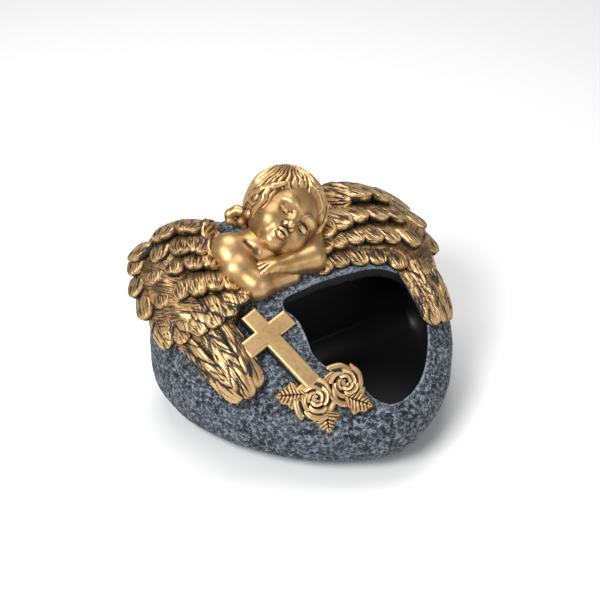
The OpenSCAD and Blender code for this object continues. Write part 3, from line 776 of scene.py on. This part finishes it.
# ---------------------------------------------------------------- cherub
HEAD = np.array([-2.5, 25.8, 117.6])
HEAD_R = 22.5
FACE = unit([0.03, -0.784, 0.62])
CROWN = unit(np.array([0.909, 0.28, 0.31]) - FACE * (FACE @ np.array([0.909, 0.28, 0.31])))
LEFT_EAR = np.cross(FACE, -CROWN)
AXES = (FACE, CROWN, LEFT_EAR)


def on_head(f, u, s):
    return HEAD + HEAD_R * (f * FACE + u * CROWN + s * LEFT_EAR)


def on_face(f, u, s):
    """A point of the face, which sits lower than the cranium and towards its pillow."""
    return on_head(0.93 * f, 0.93 * u - 0.38, 0.93 * s + 0.23)


def make_head():
    r = 0.93 * HEAD_R
    f = Field(HEAD - 34, HEAD + 30, 0.4)
    f.egg(on_head(-0.04, 0.02, 0.02), AXES, (0.96 * HEAD_R, 0.96 * HEAD_R, 0.94 * HEAD_R))
    f.egg(on_face(0.02, 0.0, 0), AXES, (0.90 * r, 0.92 * r, 0.90 * r), 6.0)
    f.egg(on_face(0.20, -0.42, 0), AXES, (0.68 * r, 0.66 * r, 0.70 * r), 6.0)
    for s in (-1, 1):
        f.ball(on_face(0.46, -0.42, 0.40 * s), 0.38 * r, 4.0)
        f.ball(on_face(1.06, -0.02, 0.36 * s), 0.20 * r, 4.0, cut=True)
        f.egg(on_face(0.74, -0.08, 0.36 * s), AXES, (0.155 * r, 0.13 * r, 0.20 * r), 0.6)
        run = np.linspace(0, 1, 11)
        lid = [on_face(0.90 - 0.24 * t ** 2, -0.150 - 0.035 * math.sin(math.pi * t), s * (0.17 + 0.40 * t))
               for t in run]
        f.chain(lid, [0.25, 0.4, 0.5, 0.55, 0.55, 0.55, 0.55, 0.55, 0.5, 0.4, 0.25], 0.2, cut=True)
        fold = [on_face(0.91 - 0.24 * t ** 2, -0.02 + 0.075 * math.sin(math.pi * t), s * (0.16 + 0.42 * t))
                for t in run]
        f.chain(fold, [0.2, 0.35, 0.5, 0.6, 0.65, 0.65, 0.65, 0.55, 0.5, 0.4, 0.2], 0.7, cut=True)
        brow = [on_face(0.90 - 0.16 * t ** 2, 0.17 + 0.05 * math.sin(math.pi * t), s * (0.18 + 0.42 * t))
                for t in run[::2]]
        f.chain(brow, [0.8, 1.4, 1.7, 1.6, 1.2, 0.6], 3.0)
        f.egg(on_face(-0.06, -0.10, 0.90 * s), AXES, (0.13 * r, 0.22 * r, 0.10 * r), 1.0)
        f.egg(on_face(-0.01, -0.09, 1.0 * s), AXES, (0.07 * r, 0.13 * r, 0.07 * r), 0.8, cut=True)
    f.egg(on_face(0.62, -0.92, 0), AXES, (0.22 * r, 0.20 * r, 0.26 * r), 4.0)
    f.egg(on_face(0.80, -0.66, 0), AXES, (0.16 * r, 0.17 * r, 0.24 * r), 3.0)
    f.cone(on_face(0.86, 0.04, 0), on_face(1.02, -0.33, 0), 0.06 * r, 0.10 * r, 2.2)
    f.ball(on_face(1.06, -0.37, 0), 0.105 * r, 1.4)
    for s in (-1, 1):
        f.ball(on_face(0.97, -0.41, 0.115 * s), 0.078 * r, 1.0)
        f.ball(on_face(1.03, -0.475, 0.062 * s), 0.042 * r, 0.3, cut=True)
    bow = np.linspace(-1, 1, 11)
    upper = [on_face(0.93 + 0.07 * math.cos(1.5 * t), -0.625 - 0.03 * t * t + 0.018 * math.cos(8 * t),
                     0.20 * t) for t in bow]
    f.chain(upper, [0.3, 0.6, 0.9, 1.1, 1.2, 1.05, 1.2, 1.1, 0.9, 0.6, 0.3], 0.8)
    lower = [on_face(0.91 + 0.08 * math.cos(1.5 * t), -0.775 + 0.02 * t * t, 0.15 * t) for t in bow[::2]]
    f.chain(lower, [0.5, 1.1, 1.5, 1.5, 1.1, 0.5], 0.8)
    line = [on_face(0.985 + 0.05 * math.cos(1.5 * t), -0.70 + 0.012 * t * t, 0.19 * t) for t in bow]
    f.chain(line, [0.3, 0.4, 0.5, 0.6, 0.7, 0.75, 0.7, 0.6, 0.5, 0.4, 0.3], 0.2, cut=True)
    v, q = f.mesh()
    n = vertex_normals(v, q)
    # painted shade: darker in the hollows of the face, together with the black wash
    wash_and_shade = np.clip(hollowness(v, q, n, 6) * 5.0, -0.5, 1.2)
    build("cherub_head_asleep", v, q, GOLD_SKIN, {"wash_and_shade": wash_and_shade}, ("cherub_head",))


# The hair runs from a whorl high on the side of the head that faces up
WHORL = unit([0.10, 0.70, -0.71])
TO_FACE = unit(np.array([1.0, 0, 0]) - WHORL[0] * WHORL)
TO_PILLOW = np.cross(WHORL, TO_FACE)
TO_PILLOW *= np.sign(TO_PILLOW[1])


def hair_point(swing, run, out):
    d = math.cos(run) * WHORL + math.sin(run) * (math.cos(swing) * TO_FACE + math.sin(swing) * TO_PILLOW)
    return on_head(*(out * d))


PARTING = 0.15
# Directions from the head's middle: along the face, the crown and the left ear
HAIR_TEMPLE = [(0.82, -0.02, -0.57), (0.69, -0.22, -0.69), (0.47, -0.38, -0.8), (0.24, -0.5, -0.83),
               (0.1, -0.62, -0.78), (0.23, -0.71, -0.66), (0.39, -0.68, -0.62)]
HAIR_CHEEK = [(0.79, 0.56, 0.23), (0.48, 0.6, 0.64), (0.39, 0.36, 0.85), (0.29, 0.12, 0.95),
              (0.18, -0.1, 0.98), (0.29, -0.37, 0.88)]


def hair_height(run, swing):
    """Radius of the hair in head radii: wavy locks that sweep away from a parting."""
    away = np.arctan2(np.sin(swing - PARTING), np.cos(swing - PARTING))
    side = np.sign(away)
    wave = 0.050 * np.sin(6.5 * run + 2.2 * away) + 0.022 * np.sin(15 * run - 3 * away)
    lane = (away + wave * side) / (1 + 0.55 * run ** 2) * 8.0
    number = np.floor(lane)
    lock = 1 - (2 * (lane - number) - 1) ** 2
    odd = lattice(number.astype(np.int64), 0, 0, 5)
    fine = lane * 3 + 0.5 * np.sin(9 * run + 5 * odd)
    hairs = 1 - (2 * (fine - np.floor(fine)) - 1) ** 2
    swell = 0.012 * np.sin(5 * run + 9 * odd)
    return 0.985 + (0.080 + 0.040 * odd) * lock ** 0.6 + 0.018 * hairs * lock + swell * lock, odd


def make_hair():
    h = 0.4
    f = Field(HEAD - 34, HEAD + 30, h)
    x, y, z = (a - c for a, c in zip(np.meshgrid(*f.axes, indexing="ij"), HEAD))
    far = np.sqrt(x * x + y * y + z * z) + 1e-6
    toward = [(x * a[0] + y * a[1] + z * a[2]) / far for a in AXES]
    face, over, pillow = (sum(t * w for t, w in zip(toward, v)) for v in (TO_FACE, WHORL, TO_PILLOW))
    run, swing = np.arccos(np.clip(over, -1, 1)), np.arctan2(pillow, face)
    away = np.abs(np.degrees(np.arctan2(np.sin(swing + 0.10), np.cos(swing + 0.10))))
    end = np.radians(66 + 56 * step(26, 70, away) + np.where(np.sin(swing) > 0.3, 8, 0))
    height, odd = hair_height(run, swing)
    end = end + 0.07 * (odd - 0.5)
    shell = 0.90 + (height - 0.90) * step(end + 0.03, end - 0.16, run) ** 0.6
    f.d = np.clip((far - HEAD_R * shell) * 0.8, -20, 20).astype(np.float32)
    temple = [on_head(*(1.05 * unit(d))) for d in HAIR_TEMPLE]
    f.chain(temple, [1.3, 2.0, 2.2, 2.1, 1.9, 1.6, 1.1], 0.5)
    cheek = [on_head(*(1.05 * unit(d))) for d in HAIR_CHEEK]
    f.chain(cheek, [1.6, 2.4, 2.6, 2.6, 2.2, 1.3], 0.6)
    curl = [hair_point(-1.9, 1.75, 1.02), HEAD + [-25, 13.5, -1], HEAD + [-29, 15, -3],
            HEAD + [-30, 13.5, -6], HEAD + [-27, 12, -7.5], HEAD + [-24.5, 12, -5.5]]
    f.chain(curl, [3.4, 3.4, 3.2, 2.8, 2.3, 1.5], 0.6)
    curl = [hair_point(-1.6, 1.8, 1.02), HEAD + [-22, 8, -2], HEAD + [-25, 8.5, -6], HEAD + [-24, 7, -9]]
    f.chain(curl, [3.2, 3.0, 2.5, 1.6], 0.6)
    f.ball(HEAD + [-27, 13.2, -4.6], 2.6, 0.5)
    v, q = f.mesh()
    n = vertex_normals(v, q)
    # painted shade: darker between the locks, together with the black wash
    wash_and_shade = np.clip(hollowness(v, q, n, 7) * 4.5 + 0.08, -0.5, 1.2)
    build("cherub_hair_in_locks", v, q, GOLD_SKIN, {"wash_and_shade": wash_and_shade}, ("cherub_hair",))


SHOULDER = (-44.5, 20.5, 103)
UPPER_ARM = (-45.5, 10, 98)
ELBOW_R = (-40.5, -1.5, 92.5)
UNDER_ARM = (-18, -3, 91)
CHEST = (-27, 18, 99)
FAR_SHOULDER = (4, 26, 98)
NECK = (-23, 18, 105)
FAR_ARM = (9, 18, 98)
ELBOW_L = (-2.8, -2, 97)
FOREARM = (-17, -1.7, 98)
WRIST = (-26.5, -1, 99.2)
KNUCKLES = np.array([-32.5, 0.5, 100.8])


def finish_skin(name, f, nodes, gain=4.0, passes=8):
    v, q = f.mesh()
    n = vertex_normals(v, q)
    # painted shade: darker in the hollows of the body and arms, together with the black wash
    wash_and_shade = np.clip(hollowness(v, q, n, passes) * gain, -0.5, 1.2)
    build(name, v, q, GOLD_SKIN, {"wash_and_shade": wash_and_shade}, nodes)


def make_body():
    f = Field((-66, -20, 72), (30, 50, 126), 0.5)
    f.cone(CHEST, FAR_SHOULDER, 13, 13)
    f.cone(CHEST, NECK, 12, 11, 4)
    f.cone(SHOULDER, CHEST, 12, 12.5, 4)
    f.cone(SHOULDER, UPPER_ARM, 11.2, 10.6, 3)
    f.cone(UPPER_ARM, ELBOW_R, 10.6, 9.6, 2)
    f.cone(ELBOW_R, UNDER_ARM, 9.2, 6.0, 2)
    armpit = [(-37, 14, 112.5), (-34, 7, 108.5), (-33, 2, 104.5)]
    f.chain(armpit, [0.6, 1.0, 0.6], 3.0, cut=True)
    fold = [(-30, 24, 117), (-27, 14, 115.5), (-22, 8, 112)]
    f.chain(fold, [0.5, 0.9, 0.6], 1.2, cut=True)
    finish_skin("cherub_body_and_right_arm", f, ("cherub_torso", "cherub_right_arm"))


def make_left_arm():
    f = Field((-50, -20, 84), (30, 34, 118), 0.4)
    f.cone(FAR_ARM, ELBOW_L, 9.4, 8.6)
    f.cone(ELBOW_L, FOREARM, 8.5, 6.9, 3)
    f.cone(FOREARM, WRIST, 6.9, 5.5, 2)
    f.egg(KNUCKLES + [2.5, 0.2, -0.9], (unit([-1, 0.1, 0.15]), unit([0.1, -1, -0.2]), unit([0, 0, 1])),
          (6.5, 6.2, 4.3), 2.5)
    for i in range(4):
        s = i - 1.5
        a = KNUCKLES + [-0.8 * s, -2.4 * s, -0.9 * abs(s) + 1.2]
        b = a + [-4.8, 0.6 - 1.2 * s, -0.8]
        c = b + [-2.6, 0.2 - 1.0 * s, -3.4]
        f.chain([a, b, c], [2.1, 2.1, 1.8], 0.35)
        if i < 3:
            gap = a + [-2.4, -1.8, 1.2]
            f.chain([a + [2.0, -1.0, 2.2], gap, b + [-0.4, -1.6, 0.6]], [0.25, 0.45, 0.4], 0.3, cut=True)
    finish_skin("cherub_left_arm_and_hand", f, ("cherub_left_arm", "cherub_left_hand"), 5.0, 6)


# ---------------------------------------------------------------- cross, roses, leaves
def make_cross():
    c, foot, arm = on_top(-49, -25.5), on_top(-39.5, -57.5), on_top(-33.5, -24.5) - [0, 0, 2.5]
    down = unit(foot - c)
    out = unit(np.cross(down, arm - c))
    side = np.cross(out, down)
    length, span, bar, proud, bury = 56.0, 36.0, 11.0, 4.5, 12.0
    f = Field((-80, -72, 38), (-12, 8, 98), 0.5)
    x = f.axes[0][:, None, None] - c[0]
    y = f.axes[1][None, :, None] - c[1]
    z = f.axes[2][None, None, :] - c[2]
    a = x * side[0] + y * side[1] + z * side[2]
    b = -(x * down[0] + y * down[1] + z * down[2])
    d = x * out[0] + y * out[1] + z * out[2]
    stem_mid = (0.30 - 0.5) * length
    stem = np.maximum(np.abs(a) - bar / 2, np.abs(b - stem_mid) - length / 2)
    arms = np.maximum(np.abs(a) - span / 2, np.abs(b) - bar / 2)
    plan = np.minimum(stem, arms)
    slab = np.maximum(d - proud, -bury - d)
    f.d = smax(plan, slab, 1.6).astype(np.float32)
    v, q = f.mesh()
    n = vertex_normals(v, q)
    rel = (v - c) @ out
    wall = step(0.6, 0.1, n @ out)
    # painted shade: darker in hollows and down the side walls towards the stone, together with the black wash
    wash_and_shade = np.clip(hollowness(v, q, n, 8) * 3, -0.4, 1) + 0.75 * wall * step(proud - 0.6, proud - 3.2, rel)
    build("cross_with_soft_edges", v, q, GOLD_FLAT, {"wash_and_shade": wash_and_shade}, ("cross",))


def petal(centre, e, g, n, angle, radius, width, height, lean):
    """A cupped petal plate that rolls out at its rim."""
    nu, nv = 12, 16
    U, V = np.meshgrid(np.linspace(0, 1, nu), np.linspace(-1, 1, nv), indexing="ij")
    spread_angle = angle + V * width * (0.55 + 0.45 * np.sin(U * math.pi / 2))
    scallop = 1 - 0.10 * V ** 2 + 0.03 * np.sin(V * 7 + angle)
    rr = radius * (0.45 + 0.55 * U ** 0.8 * scallop + lean * U ** 4) * (1 + 0.16 * V)
    hh = height * (np.sin(U * math.pi * 0.55) * (1 - 0.12 * V ** 2) - 0.35 * lean * U ** 5)
    thick = 1.05 + 0.4 * (1 - U) - 0.35 * U ** 6

    def lay(dr):
        r = rr + dr
        return (centre + e * (r * np.cos(spread_angle))[..., None] + g * (r * np.sin(spread_angle))[..., None]
                + n * (hh - 1.5)[..., None])

    outer, inner = lay(thick), lay(-thick)
    points = np.concatenate([outer.reshape(-1, 3), inner.reshape(-1, 3)])
    quads = plate_quads(nu, nv, points)
    # painted shade: dark at the petal's base, along its side edges and over its inner face, paler at the rim
    rim = step(0.78, 1.0, U)
    wash_and_shade_out = 0.75 * (1 - step(0.15, 0.75, U)) - 0.45 * rim + 0.35 * step(0.8, 1, np.abs(V))
    wash_and_shade_in = 1.0 - 1.45 * rim
    wash_and_shade = np.concatenate([wash_and_shade_out.ravel(), wash_and_shade_in.ravel()])
    return points, quads, {"wash_and_shade": wash_and_shade}


def make_rose(name, x, y, turn, seed):
    rng = np.random.default_rng(seed)
    c, n = on_top(x, y), top_normal(x, y)
    e = unit(np.cross([0, 1, 0], n))
    g = np.cross(n, e)
    parts = []
    # Petals in the ring, radius, half width in radians, height and outward lean
    rings = [(5, 9.4, 0.74, 5.0, 0.22), (4, 6.5, 0.86, 7.2, 0.12), (3, 3.8, 1.10, 8.8, 0.06),
             (1, 1.2, 2.6, 9.4, 0.0)]
    for k, (count, radius, width, height, lean) in enumerate(rings):
        for i in range(count):
            angle = turn + k * 0.75 + i * 2 * math.pi / count + rng.uniform(-0.12, 0.12)
            reach = radius * rng.uniform(0.95, 1.05)
            parts.append(petal(c, e, g, n, angle, reach, width, height, lean))
    # a dark core under the petals, painted all in shade so the gaps between petals read dark
    f = Field(c - 13, c + 13, 0.8)
    f.egg(c - n * 1.0, (e, g, n), (7.5, 7.5, 6.5))
    bv, bq = f.mesh()
    v, q, layers = merge([*parts, (bv, bq, {"wash_and_shade": np.full(len(bv), 1.0)})])
    build(name + "_petals", v, q, GOLD_FLAT, layers, (name,))


def make_leaf(name, root, tip, length=17.0):
    a, far = on_top(*root, 1.6), on_top(*tip, 2.0)
    n = top_normal(*root)
    run = unit(far - a)
    side = unit(np.cross(run, n))
    n = np.cross(side, run)
    nu, nv = 40, 25
    U, V = np.meshgrid(np.linspace(0, 1, nu), np.linspace(-1, 1, nv), indexing="ij")
    lobes = 1 + 0.16 * np.sin(U * 17 + 0.5)
    half = length * 0.40 * np.sin(math.pi * np.clip(U, 0.02, 0.985) ** 0.8) * lobes
    vein = np.exp(-(V / 0.07) ** 2)
    for k in range(6):
        u0 = 0.10 + 0.125 * k
        vein = vein + 0.85 * np.exp(-((U - u0 - 0.16 * np.abs(V)) / 0.020) ** 2) * step(1.0, 0.75, np.abs(V))
    vein = np.clip(vein, 0, 1)
    between = np.abs(np.sin(math.pi * (U - 0.10 - 0.16 * np.abs(V)) / 0.125))
    pillow = 0.7 * np.cos(V * math.pi / 2) + 0.5 * between
    face = 2.2 + 1.4 * pillow - 1.2 * vein - 1.6 * np.abs(V) ** 3 - 1.6 * U ** 3

    def lay(height):
        return a + run * (U * length)[..., None] + side * (V * half)[..., None] + n * height[..., None]

    top, low_side = lay(face), lay(-2.6 + 0 * U)
    points = np.concatenate([top.reshape(-1, 3), low_side.reshape(-1, 3)])
    quads = plate_quads(nu, nv, points)
    # black wash in the veins; the underside is painted dark as shade
    wash_and_shade = np.concatenate([(1.1 * vein - 0.25 * (1 - vein)).ravel(), np.full(nu * nv, 1.0)])
    build(name + "_veined", points, quads, GOLD_FLAT, {"wash_and_shade": wash_and_shade}, (name,))


make_bowl()
make_blade("left", LEFT_RIBS)
make_blade("right", RIGHT_RIBS)
make_rows("left", LEFT_ROWS, 1)
make_rows("right", RIGHT_ROWS, 2)
make_head()
make_hair()
make_body()
make_left_arm()
make_cross()
make_rose("rose_left", -42, -64, 0.3, 11)
make_rose("rose_right", -24.5, -66, 1.1, 12)
make_leaf("leaf_left", (-46, -60), (-59, -52))
make_leaf("leaf_front", (-39, -69), (-41.5, -80))
make_leaf("leaf_right", (-27, -72), (-17, -81))
for node, material in (("base_plate", FLOOR_BLACK), ("foot_pads", RUBBER)):
    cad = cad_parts[node]
    cad.data.materials.clear()
    cad.data.materials.append(material)


# ---------------------------------------------------------------- stage, light, camera
def make_floor():
    bpy.ops.mesh.primitive_plane_add(size=4.0, location=(0, 0, 0))
    floor = bpy.context.object
    floor.name = "pale_floor"
    m = Nodes("pale_paper")
    tone = m.noise(3.0, 2.0)
    m.set(Base_Color=m.mix(tone, (0.86, 0.86, 0.86), (0.89, 0.89, 0.89)), Roughness=0.9)
    floor.data.materials.append(m.material)


def softbox(name, where, size, power, tone=(1, 1, 1)):
    lamp = bpy.data.lights.new(name, "AREA")
    lamp.shape = "RECTANGLE"
    lamp.size, lamp.size_y = size
    lamp.energy = power
    lamp.color = tone
    obj = bpy.data.objects.new(name, lamp)
    obj.location = where
    target = Vector((0, 0, 0.06))
    obj.rotation_euler = (target - Vector(where)).to_track_quat("-Z", "Y").to_euler()
    bpy.context.scene.collection.objects.link(obj)


def make_camera():
    azimuth, elevation, distance = math.radians(-34), math.radians(38), 0.800
    target = Vector(place([0, 0, 30]))
    back = Vector((math.sin(azimuth) * math.cos(elevation), -math.cos(azimuth) * math.cos(elevation),
                   math.sin(elevation)))
    camera = bpy.data.cameras.new("camera")
    camera.sensor_width = 36.0
    camera.lens = 36.0 * 1.62 * 800 / 600
    camera.shift_x, camera.shift_y = -13 / 600, 45 / 600
    obj = bpy.data.objects.new("camera", camera)
    right = Vector((math.cos(azimuth), math.sin(azimuth), 0))
    up = back.cross(right)
    turn = Matrix((right, up, back)).transposed()
    obj.matrix_world = Matrix.Translation(target + back * distance) @ turn.to_4x4()
    bpy.context.scene.collection.objects.link(obj)
    bpy.context.scene.camera = obj


make_floor()
softbox("key_left", (-0.80, -0.25, 0.90), (0.50, 0.50), 12.5)
softbox("fill_front", (0.35, -1.0, 0.45), (0.9, 0.5), 2.8)
softbox("top", (0.15, 0.35, 1.1), (0.8, 0.8), 8.0)
world = bpy.data.worlds.new("studio")
world.use_nodes = True
world.node_tree.nodes["Background"].inputs[0].default_value = (1, 1, 1, 1)
world.node_tree.nodes["Background"].inputs[1].default_value = 0.28
bpy.context.scene.world = world
bpy.context.scene.view_settings.view_transform = "Standard"
make_camera()
